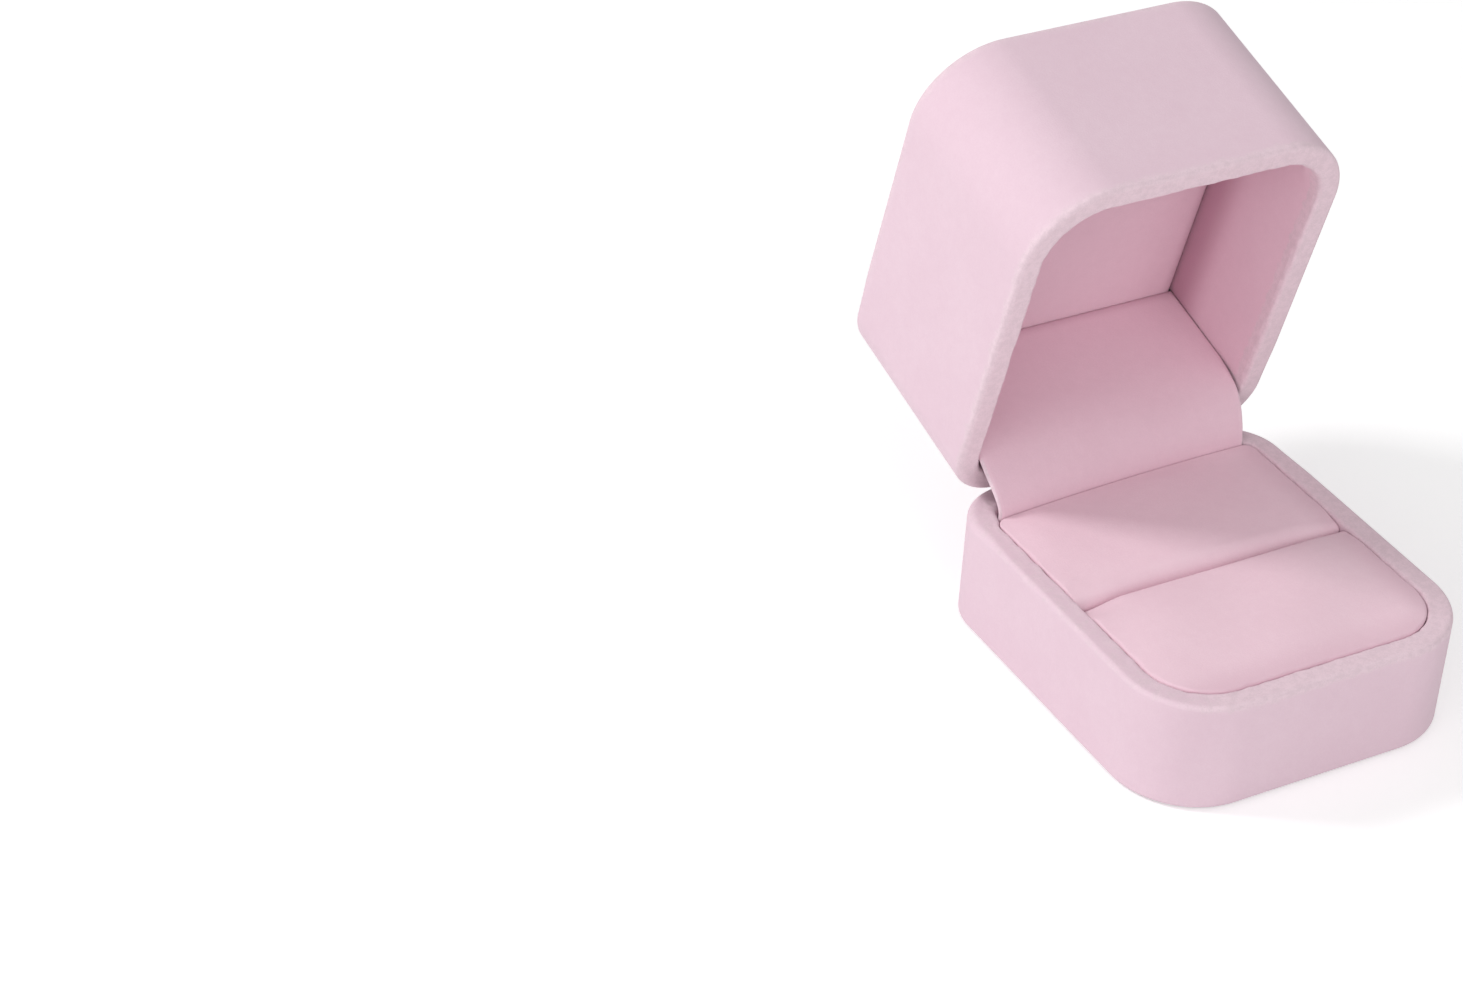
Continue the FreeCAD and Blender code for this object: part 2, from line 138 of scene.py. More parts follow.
def velvet(name, pink, deep_pink):
    """Pile cloth: soft clouds, brush marks and a fine grain between two pinks. Where the attribute on
    the points is above zero the pile is crushed and a greyer tone breaks through in patches, and where
    it is below zero the tone is painted darker, as painted shade. A fine bump stands for the pile, with
    sheen at glancing angles."""
    material = bpy.data.materials.new(name)
    material.use_nodes = True
    nodes, links = material.node_tree.nodes, material.node_tree.links
    shader = nodes["Principled BSDF"]
    shader.inputs["Roughness"].default_value = 0.95
    shader.inputs["Specular IOR Level"].default_value = 0.12
    shader.inputs["Sheen Weight"].default_value = 0.3
    shader.inputs["Sheen Roughness"].default_value = 0.5
    shader.inputs["Sheen Tint"].default_value = (1.0, 0.92, 0.95, 1)
    place = nodes.new("ShaderNodeTexCoord")

    def noise(size_mm, detail):
        node = nodes.new("ShaderNodeTexNoise")
        node.inputs["Scale"].default_value = 1000 / size_mm
        node.inputs["Detail"].default_value = detail
        links.new(place.outputs["Object"], node.inputs["Vector"])
        return node.outputs["Fac"]

    def ramp(value, low, high, top):
        node = nodes.new("ShaderNodeMapRange")
        node.interpolation_type = "SMOOTHSTEP"
        node.inputs["From Min"].default_value = low
        node.inputs["From Max"].default_value = high
        node.inputs["To Max"].default_value = top
        links.new(value, node.inputs["Value"])
        return node.outputs["Result"]

    def tint(factor, under, over):
        node = nodes.new("ShaderNodeMix")
        node.data_type = "RGBA"
        links.new(factor, node.inputs[MIX_FACTOR])
        for socket, tone in ((node.inputs[MIX_UNDER], under), (node.inputs[MIX_OVER], over)):
            if isinstance(tone, tuple):
                socket.default_value = (*tone, 1)
            else:
                links.new(tone, socket)
        return node.outputs[MIX_RESULT]

    def added(first, second, share):
        node = nodes.new("ShaderNodeMath")
        node.operation = "MULTIPLY_ADD"
        node.inputs[1].default_value = share
        links.new(second, node.inputs[0])
        links.new(first, node.inputs[2])
        return node.outputs["Value"]

    pile, brush = noise(PILE_MM, detail=2), noise(BRUSH_MM, detail=3)
    tufts, clouds = noise(TUFT_MM, detail=2), noise(CLOUD_MM, detail=2)
    colour = tint(ramp(clouds, 0.35, 0.65, top=0.18), pink, deep_pink)
    colour = tint(ramp(brush, 0.3, 0.7, top=0.16), colour, deep_pink)
    colour = tint(ramp(pile, 0.3, 0.7, top=0.22), colour, deep_pink)
    crush_and_shade = nodes.new("ShaderNodeAttribute")
    crush_and_shade.attribute_name = "crush_and_shade"
    # Painted shade: below zero the colour darkens towards this deeper pink.
    painted_shade_tone = tuple(np.array(deep_pink) * PAINTED_SHADE_TINT)
    colour = tint(ramp(crush_and_shade.outputs["Fac"], 0, -1, top=1), colour, painted_shade_tone)
    patches = added(added(crush_and_shade.outputs["Fac"], brush, share=0.9), tufts, share=0.5)
    mottle = ramp(added(pile, tufts, share=1.2), 0.8, 1.4, top=1)
    crushed_tone = tint(mottle, CRUSHED_PINK, tuple(np.array(CRUSHED_PINK) * CRUSHED_SHADE))
    colour = tint(ramp(patches, 1.0, 1.5, top=0.9), colour, crushed_tone)
    bump = nodes.new("ShaderNodeBump")
    bump.inputs["Strength"].default_value = 0.35
    bump.inputs["Distance"].default_value = PILE_RELIEF_MM / 1000
    links.new(added(pile, brush, share=1.5), bump.inputs["Height"])
    links.new(bump.outputs["Normal"], shader.inputs["Normal"])
    links.new(colour, shader.inputs["Base Color"])
    return material


def run(start, end, spacing):
    """Points along a straight line from start up to but not including end, about spacing apart."""
    start, end = np.array(start, float), np.array(end, float)
    steps = max(1, math.ceil(np.linalg.norm(end - start) / spacing))
    return start + (end - start) * np.arange(steps)[:, None] / steps


def arc(centre, radius, first, last, steps=9):
    """Points on a circle about centre from angle first to angle last, in degrees."""
    angle = np.radians(np.linspace(first, last, steps))
    return np.array(centre) + radius * np.column_stack([np.cos(angle), np.sin(angle)])


def smooth(value, low, high):
    """0 below low, 1 above high and an S-curve between."""
    t = np.clip((value - low) / (high - low), 0, 1)
    return t * t * (3 - 2 * t)


def plan_outline(spacing):
    """Points and outward normals round the box seen from above, clockwise from the right end of the
    back wall: four quarter circles, wide at the front and tighter at the back, each followed by a
    straight wall. The back wall comes last, and the number of its points is the third result."""
    half, deep = WIDTH / 2, DEPTH / 2
    back = (half - BACK_RADIUS, deep - BACK_RADIUS)
    front = (half - FRONT_RADIUS, FRONT_RADIUS - deep)
    corners = [(back, BACK_RADIUS), (front, FRONT_RADIUS)]
    corners += [((-x, y), radius) for (x, y), radius in reversed(corners)]
    turns = []
    for index, (centre, radius) in enumerate(corners):
        steps = math.ceil(radius * math.pi / 2 / spacing) + 1
        turns.append(arc(centre, radius, 90 - 90 * index, -90 * index, steps))
    points, normals = [], []
    for index, (centre, radius) in enumerate(corners):
        wall = run(turns[index][-1], turns[(index + 1) % 4][0], spacing)[1:]
        out = (turns[index] - centre) / radius
        points += [turns[index], wall]
        normals += [out, np.repeat(out[-1:], len(wall), 0)]
    return np.vstack(points), np.vstack(normals), len(wall)


def rim_profile(rounding):
    """Section of a turned edge as (inset, depth below the rim): a quarter circle from the wall, a flat
    and a quarter circle down to the inside."""
    flat = np.linspace(rounding, RIM - INNER_ROUND, RIM_POINTS)[1:-1]
    return np.vstack([
        arc((rounding, rounding), rounding, 180, 270),
        np.column_stack([flat, np.zeros(len(flat))]),
        arc((RIM - INNER_ROUND, INNER_ROUND), INNER_ROUND, 270, 360),
    ])


def joined(count, *sections):
    """Profiles for a number of outline points, from sections that are the same all round or one for
    each point."""
    spread = [np.broadcast_to(part, (count,) + part.shape[-2:]) for part in sections]
    return np.concatenate(spread, axis=1)


def ragged(profile, crush, centre, seed):
    """Profile pulled in towards the middle of its rim by a smooth random depth, where the nap is
    crushed, growing from the wall to the inside. The random field is white noise blurred with a
    Gaussian of about one millimetre along the rim."""
    noise = np.fft.fft2(np.random.default_rng(seed).normal(size=profile.shape[:2]))
    along = np.fft.fftfreq(profile.shape[0])[:, None]
    across = np.fft.fftfreq(profile.shape[1])[None, :]
    blur = np.exp(-((along / BLUR_ALONG) ** 2) - (across / BLUR_ACROSS) ** 2)
    field = np.fft.ifft2(noise * blur).real
    depth = RAGGED * smooth(field / field.std(), -RAGGED_SPREAD, RAGGED_SPREAD) * crush
    depth = depth * smooth(profile[:, :, 0], RIM / 4, RIM)
    inward = np.array(centre) - profile
    return profile + inward / np.linalg.norm(inward, axis=2, keepdims=True) * depth[:, :, None]


def carried_round(points, normals, profile):
    """Surface swept by a profile of (inset, height) pairs carried along an outline: each outline point
    is moved in along its normal by the inset and up by the height."""
    profile = joined(len(points), profile)
    across = points[:, None, :] - normals[:, None, :] * profile[:, :, :1]
    return np.concatenate([across, profile[:, :, 1:]], axis=2)


def numbered(shape):
    """Grid of point numbers, counted row by row."""
    return np.arange(shape[0] * shape[1]).reshape(shape[:2])


def quads_of(index):
    """Quads of a grid of point numbers, each in order round its cell."""
    return np.stack([index[:-1, :-1], index[:-1, 1:], index[1:, 1:], index[1:, :-1]], axis=-1)


def new_piece(name, points, faces, material, crush_and_shade=0.0):
    """Smooth mesh object from points in millimetres, with the crush of its pile on each point, or
    painted shade where that value is below zero. It is crisp along open edges, which are those that only
    one face uses."""
    mesh = bpy.data.meshes.new(name)
    mesh.from_pydata(points / 1000, [], faces)
    mesh.polygons.foreach_set("use_smooth", np.ones(len(mesh.polygons), bool))
    edge_of_corner = np.empty(len(mesh.loops), np.int32)
    mesh.loops.foreach_get("edge_index", edge_of_corner)
    faces_at_edge = np.bincount(edge_of_corner, minlength=len(mesh.edges))
    mesh.edges.foreach_set("use_edge_sharp", faces_at_edge == 1)
    layer = mesh.attributes.new("crush_and_shade", "FLOAT", "POINT")
    layer.data.foreach_set("value", np.broadcast_to(crush_and_shade, len(points)).astype(np.float32))
    mesh.materials.append(material)
    piece = bpy.data.objects.new(name, mesh)
    bpy.context.scene.collection.objects.link(piece)
    return piece


def thicken(piece, millimetres):
    """Gives a sheet its thickness on the side away from its face."""
    solid = piece.modifiers.new("thickness", "SOLIDIFY")
    solid.thickness = millimetres / 1000
    solid.offset = -1


def wrapped_sheet(name, grid, material, crush_and_shade, keep):
    """Sheet on a grid that joins end to end along its first axis, made of the cells marked in keep."""
    index = numbered(grid.shape)
    used, faces = np.unique(quads_of(np.vstack([index, index[:1]]))[keep], return_inverse=True)
    crush = np.broadcast_to(crush_and_shade, grid.shape[:2]).ravel()[used]
    faces = faces.reshape(-1, 4).tolist()
    piece = new_piece(name, grid.reshape(-1, 3)[used], faces, material, crush)
    thicken(piece, VELVET)
    return piece


outer_velvet = velvet("outer_velvet", pink=(0.79, 0.60, 0.68), deep_pink=(0.72, 0.51, 0.60))
plan, plan_normals, back_points = plan_outline(OUTLINE_STEP)
on_back = np.arange(len(plan)) >= len(plan) - back_points - 1
toward_back = smooth(plan[:, 1], *ROUNDER_BACK)[:, None, None]
front_edge, back_edge = rim_profile(RIM_ROUND), rim_profile(BACK_RIM_ROUND)
turned_edge = front_edge * (1 - toward_back) + back_edge * toward_back
window_foot = BASE_HEIGHT - HINGE_WINDOW
below_window = np.vstack([
    run((TURN_UNDER, FOOT), (BOTTOM_ROUND, FOOT), TURN_STEP),
    arc((BOTTOM_ROUND, FOOT + BOTTOM_ROUND), BOTTOM_ROUND, -90, -180)[:-1],
    run((0, FOOT + BOTTOM_ROUND), (0, window_foot), WALL_STEP),
])
base_profile = joined(
    len(plan),
    below_window,
    run((0, window_foot), (0, BASE_HEIGHT - BACK_RIM_ROUND), WALL_STEP),
    turned_edge * (1, -1) + (0, BASE_HEIGHT),
    run((RIM, BASE_HEIGHT - INNER_ROUND), (RIM, BASE_HEIGHT - TURN_IN), TURN_STEP)[1:],
)
inner_plan = plan - plan_normals * RIM
by_flap = smooth(inner_plan[:, 1], *FILL_ALONG_Y) * smooth(-inner_plan[:, 0], *FILL_ALONG_X)
corner_fill = CORNER_FILL * by_flap[:, None] * (base_profile[:, :, 0] / RIM) ** 2
base_profile[:, :, 0] += corner_fill * (base_profile[:, :, 1] > BASE_HEIGHT / 2)
crush_height = BASE_HEIGHT - CRUSH_STARTS
base_crush = smooth(base_profile[:, :, 1], crush_height, BASE_HEIGHT - CRUSH_FULL)
base_nap = base_crush * (1 - LESS_CRUSHED * smooth(-plan[:, :1], *LEFT_RIM))
base_profile = ragged(base_profile, base_crush, (RIM / 2, crush_height), BASE_PILE_SEED)
past_window = np.arange(base_profile.shape[1] - 1) >= len(below_window)
base_wrap = wrapped_sheet(
    "base_wrap_velvet",
    carried_round(plan, plan_normals, base_profile),
    outer_velvet,
    base_nap,
    keep=~(on_back[:, None] & past_window[None, :]),
)
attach(base_wrap, "base")
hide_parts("base_wrap")


# Foot sheet: a thin sheet of pink felt paper, cut a little smaller than the box.
# It is glued over the turned-under velvet, and the box stands on it.
FOOT_INSET = 2.0
FOOT_CLEARANCE = 0.02
FOOT_GRID = (60, 60)


def rounded_rows(half_x, low_y, high_y, low_radius, high_radius, rows, columns):
    """Grid over a rectangle with rounded corners: rows run from low_y to high_y and close up towards
    both ends, each row spans the width that the corner circles leave, and columns close up towards
    its ends."""
    y = low_y + (high_y - low_y) * (1 - np.cos(np.linspace(0, math.pi, rows))) / 2
    into_low = np.clip(low_radius - (y - low_y), 0, low_radius)
    into_high = np.clip(high_radius - (high_y - y), 0, high_radius)
    cut = low_radius - np.sqrt(low_radius**2 - into_low**2)
    cut = cut + high_radius - np.sqrt(high_radius**2 - into_high**2)
    x = (half_x - cut)[:, None] * -np.cos(np.linspace(0, math.pi, columns))[None, :]
    return x, np.broadcast_to(y[:, None], x.shape)


def inset_shape(inset):
    """Plan of the box drawn in by an inset: half width, front, back, and front and back radius."""
    half, deep = WIDTH / 2 - inset, DEPTH / 2 - inset
    return half, -deep, deep, FRONT_RADIUS - inset, BACK_RADIUS - inset


felt = grained(
    "foot_felt",
    colour=(0.70, 0.50, 0.58),
    shade=(0.58, 0.40, 0.47),
    size_mm=0.5,
    roughness=0.95,
    relief_mm=0.05,
)
foot_x, foot_y = rounded_rows(*inset_shape(FOOT_INSET), *FOOT_GRID)
foot_points = np.stack([foot_x, foot_y, np.zeros_like(foot_x)], axis=2)[::-1].reshape(-1, 3)
foot_faces = quads_of(numbered(foot_x.shape)).reshape(-1, 4).tolist()
foot = new_piece("foot_sheet_felt", foot_points, foot_faces, felt)
thicken(foot, FOOT - FOOT_CLEARANCE)
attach(foot, "base")
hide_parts("foot_sheet")


# Cards: plain grey board, die-cut, that carries the pads and the linings.
# They are glued into the shells, and all of them are covered.
card = grained(
    "grey_card",
    colour=(0.52, 0.47, 0.41),
    shade=(0.42, 0.38, 0.33),
    size_mm=0.8,
    roughness=0.9,
    relief_mm=0.04,
)
dress(
    card,
    "cushion_board",
    "lid_ceiling_board",
    "lid_wall_board",
    "lid_back_board",
    "lid_top_board",
)


# Pads: two blocks of soft foam under tight velvet, pressed into the base side by side, with a slit
# between them that grips. They bulge a little above the rim and meet it in a tight crease. Towards the
# right and the front they are painted darker, as painted shade.
PAD_GAP = 0.04
PAD_INSET = RIM + PAD_GAP
PAD_LOW, PAD_EDGE = 4.2, 18.25
PAD_GRID, SKIRT_LEVELS = (110, 130), 9
PAD_ROLL, BY_FLAP = 0.45, (1, 5)
SLIT_Y, SLIT_GAP = -0.1, 0.3
SLIT_ROLL_LOSS = 0.5
REAR_PAD_BACK = 23.9
BACK_SKEW, BACK_BOW = 0.035, 0.0011
FILL_LUMPS = {"size": 14, "height": 0.3}
ROLL_LUMPS = {"size": 3, "height": 0.2}
LUMPS_FADE = (0, 4)
DIP_FROM_X, DIP_FROM_SLIT = 16, 5
# Painted shade on the pads near their right and front edges: strength and width.
SIDE_SHADE, SIDE_SHADE_WIDTH = 0.34, 7
OUT_OF_REACH = 60.0
# Painted light: the pads' velvet is the outer velvet painted lighter, standing for extra light on the
# pads.
cushion_velvet_painted_lighter = velvet(
    "cushion_velvet_painted_lighter", pink=(0.872, 0.643, 0.721), deep_pink=(0.797, 0.547, 0.636)
)


def quarter_roll(distance, radius):
    """How far a rounded edge has dropped at a distance from the edge: a quarter circle of the given
    radius."""
    short = np.clip(radius - distance, 0, radius)
    return radius - np.sqrt(radius**2 - short**2)


def edge_distance(x, y, half_x, low_y, high_y, low_radius, high_radius):
    """Distance inwards from the outline of a rectangle with rounded corners."""
    middle = (low_y + high_y) / 2
    radius = np.where(y < middle, low_radius, high_radius)
    out_x = np.abs(x) - (half_x - radius)
    out_y = np.abs(y - middle) - ((high_y - low_y) / 2 - radius)
    corner = np.hypot(np.maximum(out_x, 0), np.maximum(out_y, 0))
    return np.maximum(radius - corner - np.minimum(np.maximum(out_x, out_y), 0), 0)


def lumps(x, y, size, height, seed):
    """Gentle unevenness of soft fill: the mean of three random cosine waves, each from size to 1.8
    times size millimetres long."""
    random = np.random.default_rng(seed)
    longest = (math.pi, 2 * math.pi, 1.8 * size)
    turn, shift, length = random.uniform((0, 0, size), longest, (3, 3)).T
    waves = np.multiply.outer(x, np.cos(turn)) + np.multiply.outer(y, np.sin(turn))
    return height * np.cos(2 * math.pi * waves / length + shift).mean(axis=-1)


def back_line(x):
    """How far the soft back edge of the rear pad, and the flap behind it, lie off straight: a skew
    that grows with x and a bow that grows with its square."""
    return BACK_SKEW * x - BACK_BOW * x**2


def padded_block(name, x, y, top, low, material, crush_and_shade=0.0, place=lambda points: points, flip=False):
    """Closed pad: the top surface on its grid, a skirt straight down from its edge, and a flat
    underside."""
    upper = numbered(x.shape)
    under = upper + x.size
    edge = np.concatenate(
        [upper[0], upper[1:, -1], upper[-1, -2::-1], upper[-2:0:-1, 0], upper[0, :1]]
    )
    points = np.stack([x, y, top], axis=2).reshape(-1, 3)
    share = np.linspace(0, 1, SKIRT_LEVELS)[1:-1, None]
    skirt = np.repeat(points[None, edge[:-1]], len(share), 0)
    skirt[:, :, 2] = low + (skirt[:, :, 2] - low) * share
    rings = 2 * x.size + numbered(skirt.shape)
    rings = np.vstack([under.ravel()[edge], np.hstack([rings, rings[:, :1]]), edge])
    floor_points = points * (1, 1, 0) + (0, 0, low)
    points = place(np.vstack([points, floor_points, skirt.reshape(-1, 3)]))
    faces = np.vstack([quads_of(index).reshape(-1, 4) for index in (upper, under[::-1], rings)])
    crush = np.zeros(len(points))
    crush[:x.size] = np.broadcast_to(crush_and_shade, x.shape).ravel()
    return new_piece(name, points, (faces[:, ::-1] if flip else faces).tolist(), material, crush)


def ring_pad(name, low_y, high_y, low_radius, high_radius, slit_side, bulge, slit_roll, dips, seed):
    """Pad that lies just below the rim along its edges and bulges in the middle, falling off with the
    cube of x and the power 2.6 of y. A quarter circle rolls it off tightly along the rim, by half as
    much beside the flap, and wider into the slit, where its ends dip. The slit's side of the outline
    is moved out of reach, so that the roll along the rim leaves it out."""
    half_x = WIDTH / 2 - PAD_INSET
    x, y = rounded_rows(half_x, low_y, high_y, low_radius, high_radius, *PAD_GRID)
    slit = np.abs((high_y if slit_side > 0 else low_y) - y)
    beyond = OUT_OF_REACH * slit_side
    outer_low, outer_high = min(low_y, low_y + beyond), max(high_y, high_y + beyond)
    side = edge_distance(x, y, half_x, outer_low, outer_high, low_radius, high_radius)
    across, along = x / half_x, (y - (low_y + high_y) / 2) / ((high_y - low_y) / 2)
    top = PAD_EDGE + bulge * (1 - np.abs(across) ** 3) * (1 - np.abs(along) ** 2.6)
    unevenness = lumps(x, y, **FILL_LUMPS, seed=seed)
    top = top + unevenness * smooth(side, *LUMPS_FADE) * smooth(slit, *LUMPS_FADE)
    from_flap = smooth(REAR_PAD_BACK - y, *BY_FLAP)
    rim_roll = PAD_ROLL * (0.5 + 0.5 * from_flap)
    rim_roll = rim_roll + lumps(x, y, **ROLL_LUMPS, seed=seed + 1) * from_flap
    into_slit = slit_roll * (1 - SLIT_ROLL_LOSS * across**4)
    top = top - quarter_roll(side, rim_roll) - quarter_roll(slit, into_slit)
    for end, dip in zip((-x, x), dips):
        top = top - dip * smooth(end, DIP_FROM_X, half_x) * smooth(-slit, -DIP_FROM_SLIT, 0)
    if slit_side < 0:
        y = y + back_line(x) * (y - low_y) / (high_y - low_y)
    front = DEPTH / 2 - PAD_INSET
    # Painted shade: the tone darkens within a few millimetres of the right and front edges.
    side_shade = np.maximum(
        smooth(x, half_x - SIDE_SHADE_WIDTH, half_x), smooth(-y, front - SIDE_SHADE_WIDTH, front)
    )
    pad = padded_block(name, x, y, top, PAD_LOW, cushion_velvet_painted_lighter, -SIDE_SHADE * side_shade)
    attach(pad, "base")
    return pad


front_pad = ring_pad(
    "front_ring_pad",
    low_y=PAD_INSET - DEPTH / 2,
    high_y=SLIT_Y - SLIT_GAP / 2,
    low_radius=FRONT_RADIUS - PAD_INSET,
    high_radius=2.0,
    slit_side=1,
    bulge=1.4,
    slit_roll=2.2,
    dips=(1.4, 0.5),
    seed=14,
)
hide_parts("front_cushion_cover", "front_foam")
rear_pad = ring_pad(
    "rear_ring_pad",
    low_y=SLIT_Y + SLIT_GAP / 2,
    high_y=REAR_PAD_BACK,
    low_radius=0.8,
    high_radius=1.8,
    slit_side=-1,
    bulge=0.8,
    slit_roll=2.8,
    dips=(0.6, 0.5),
    seed=13,
)
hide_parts("rear_cushion_cover", "rear_foam")


# Hinge: stamped steel leaves with rolled knuckles on one pin, a flat spring and flush rivets.
# It is riveted inside the back walls and hidden by the flap.
steel = grained(
    "hinge_steel",
    colour=(0.56, 0.56, 0.57),
    shade=(0.46, 0.46, 0.48),
    size_mm=0.3,
    roughness=0.35,
    relief_mm=0.01,
    metallic=1.0,
)
dress(
    steel,
    "hinge_base_leaf",
    "hinge_lid_leaf",
    "hinge_pin",
    "hinge_spring",
    "base_hinge_rivets",
    "lid_hinge_rivets",
)
hinge = frame["joints"][0]
HINGE_Y, HINGE_Z = hinge["pos_m"][1] * 1000, hinge["pos_m"][2] * 1000
OPEN = math.radians(hinge["range_deg"][1])
LID_Z = 2 * HINGE_Z - BASE_HEIGHT


def swung(points, angle=OPEN):
    """Turns points of the closed lid about the hinge pin into the open pose, or by another angle."""
    across, up = points[..., 1] - HINGE_Y, points[..., 2] - HINGE_Z
    y = HINGE_Y + across * math.cos(angle) + up * math.sin(angle)
    z = HINGE_Z - across * math.sin(angle) + up * math.cos(angle)
    return np.stack([points[..., 0], y, z], axis=-1)


# Back strip: a band of the same velvet glued to both back walls, flush with the wraps, over the hinge
# barrel. It is shaped folded into the corner between lid and base, as it lies with the lid open.
STRIP_GAP = 0.05
STRIP_HALF = WIDTH / 2 - BACK_RADIUS - STRIP_GAP
STRIP_BEND = 2.6
STRIP_COLUMNS, STRIP_GLUED_POINTS = 60, 6
PATH_STEP = 0.4


def on_lid(y, *heights):
    """Places in the open pose, as (y, z), of points on a line up the closed lid."""
    return swung(np.array([[0, y, height] for height in heights]))[:, 1:]


def meeting(base_y, lid_y):
    """Height on a line up the closed lid at which, once swung open, it meets a line up the base."""
    lid_reach = (lid_y - HINGE_Y) * math.cos(OPEN)
    return HINGE_Z + (base_y - HINGE_Y - lid_reach) / math.sin(OPEN)


def bend_path(base_y, lid_y, radius, low, high):
    """Points and forward normals of a line up the base, an arc past the hinge and a line along the
    open lid. The arc touches both lines, so it starts and ends radius x tan(half the opening angle)
    from their meeting."""
    reach = radius * math.tan(OPEN / 2)
    meet = meeting(base_y, lid_y)
    ends = on_lid(lid_y, meet, meet + reach, high)
    leave = np.array([base_y, ends[0, 1] - reach])
    steps = math.ceil(radius * OPEN / PATH_STEP) + 1
    bend = arc(leave + (radius, 0), radius, 180, 180 - math.degrees(OPEN), steps)
    straight = run((base_y, low), leave, PATH_STEP)
    last = run(ends[1], ends[2], PATH_STEP)[1:]
    turn = np.concatenate(
        [np.zeros(len(straight)), np.linspace(0, OPEN, steps), np.full(len(last) + 1, OPEN)]
    )
    normals = np.column_stack([-np.cos(turn), np.sin(turn)])
    return np.vstack([straight, bend, last, ends[2:]]), normals


def soft_band(points, normals, left, right, thickness, columns):
    """Strip with rounded side edges carried along a path: its section is a flat oval from left to
    right, with its face on the path and its back a thickness behind it."""
    half = thickness / 2
    across = np.linspace(-1, 1, columns)
    level = 0 * across
    right_edge = arc((0, -half), half, 90, -90)[1:-1]
    left_edge = arc((0, -half), half, 270, 90)[1:-1]
    end = np.ones(len(right_edge))
    side = np.concatenate([across, end, -across, -end])
    bulge = np.concatenate([level, right_edge[:, 0], level, left_edge[:, 0]])
    depth = np.concatenate([level, right_edge[:, 1], level - thickness, left_edge[:, 1]])
    middle, reach = (left + right)[:, None] / 2, (right - left)[:, None] / 2 - half
    x = middle + reach * side + bulge
    yz = points[:, None, :] + normals[:, None, :] * depth[None, :, None]
    return np.concatenate([x[:, :, None], yz], axis=2)


def closed_band(name, grid, material, crush_and_shade=0.0, flip=False):
    """Closed mesh on a grid that joins up round its section, with a face over each end."""
    index = numbered(grid.shape)
    if flip:
        index = index[::-1]
    faces = quads_of(np.hstack([index, index[:, :1]])).reshape(-1, 4).tolist()
    faces += [index[0, ::-1].tolist(), index[-1].tolist()]
    crush = np.broadcast_to(crush_and_shade, grid.shape[:2]).ravel()
    return new_piece(name, grid.reshape(-1, 3), faces, material, crush)


strip_points, strip_normals = bend_path(
    DEPTH / 2,
    DEPTH / 2,
    STRIP_BEND,
    low=BASE_HEIGHT - HINGE_WINDOW + STRIP_GAP,
    high=LID_Z + HINGE_WINDOW - STRIP_GAP,
)
strip_half = np.full(len(strip_points), STRIP_HALF)
strip_grid = soft_band(
    strip_points, -strip_normals, -strip_half, strip_half, VELVET, STRIP_COLUMNS
)
back_strip = closed_band("hinge_back_strip_velvet", strip_grid, outer_velvet, flip=True)
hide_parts("hinge_back_strip")
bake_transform(back_strip)


# Hinge flap: a tongue of velvet that hides the hinge. It is tucked behind the rear pad, bends freely
# over the hinge and is glued to a card along the back of the lid. It widens as it leaves the base,
# and its right edge follows the lid's round corner. Ranges are (from, to) in millimetres.
FLAP, FLAP_GAP, FLAP_COLUMNS = 0.8, 0.06, 90
FLAP_BASE_Y, FLAP_LID_Y = 24.0, 21.4
FLAP_LANDS, FLAP_TAIL = 8.0, 9.5
FLAP_FREE = 6.5
FLAP_LEFT, FLAP_RIGHT = 22.75, 22.5
LEFT_WIDENING, MOUTH_PINCH = 0.75, 0.4
INTO_LID, INTO_MOUTH, PAST_MOUTH = (-6.0, 1.5), (-5, 1), (1, 9)
GLUED_TO_LID = (2, 9)
FLAP_WAVES = {"size": 18, "height": 0.35, "seed": 4}
CEILING_DEPTH, CEILING_GAP = 21.5, 0.05
# Painted light on the flap: a pale painted highlight along its cut edges near the base that turns to
# painted shade deeper in the lid, and painted shade at its top and foot.
CUT_EDGE, CUT_EDGE_SHADE_DEPTHS, CUT_EDGE_SHADE = (0.1, 0.7), (-1, 3), 1.5
TOP_SHADE, TOP_SHADE_DEPTH = 0.5, 2.5
FOOT_SHADE, FOOT_SHADE_RISE = 0.18, (4, 11)
# Painted light: the inside velvet is the outer velvet painted pinker and lighter in red, standing for
# light bouncing round inside the lid.
inner_velvet_painted_pinker = velvet("inner_velvet_painted_pinker", pink=(0.84, 0.60, 0.685), deep_pink=(0.76, 0.51, 0.60))


def soft_bend(base_y, lid_y, low, leaves, lands, high):
    """Points and forward normals of a line up the base, a soft bend and a line along the open lid. The
    bend is the parabola that touches both lines, at the heights where it leaves the one and lands on
    the other."""
    corner, end, top = on_lid(lid_y, meeting(base_y, lid_y), lands, high)
    start = np.array([base_y, leaves])
    longest = np.linalg.norm(corner - start) + np.linalg.norm(end - corner)
    share = np.linspace(0, 1, math.ceil(longest / PATH_STEP))[:-1, None]
    bend = (1 - share) ** 2 * start + 2 * share * (1 - share) * corner + share**2 * end
    tail, glued = run((base_y, low), start, PATH_STEP), run(end, top, PATH_STEP)
    points = np.vstack([tail, bend, glued, [top]])
    along = np.gradient(points, axis=0)
    along = along / np.linalg.norm(along, axis=1, keepdims=True)
    return points, along[:, ::-1] * (-1, 1)


def hump(value, rise, fall):
    """0 before the rise, 1 between rise and fall and 0 after, with S-curves over both ranges."""
    return smooth(value, *rise) * (1 - smooth(value, *fall))


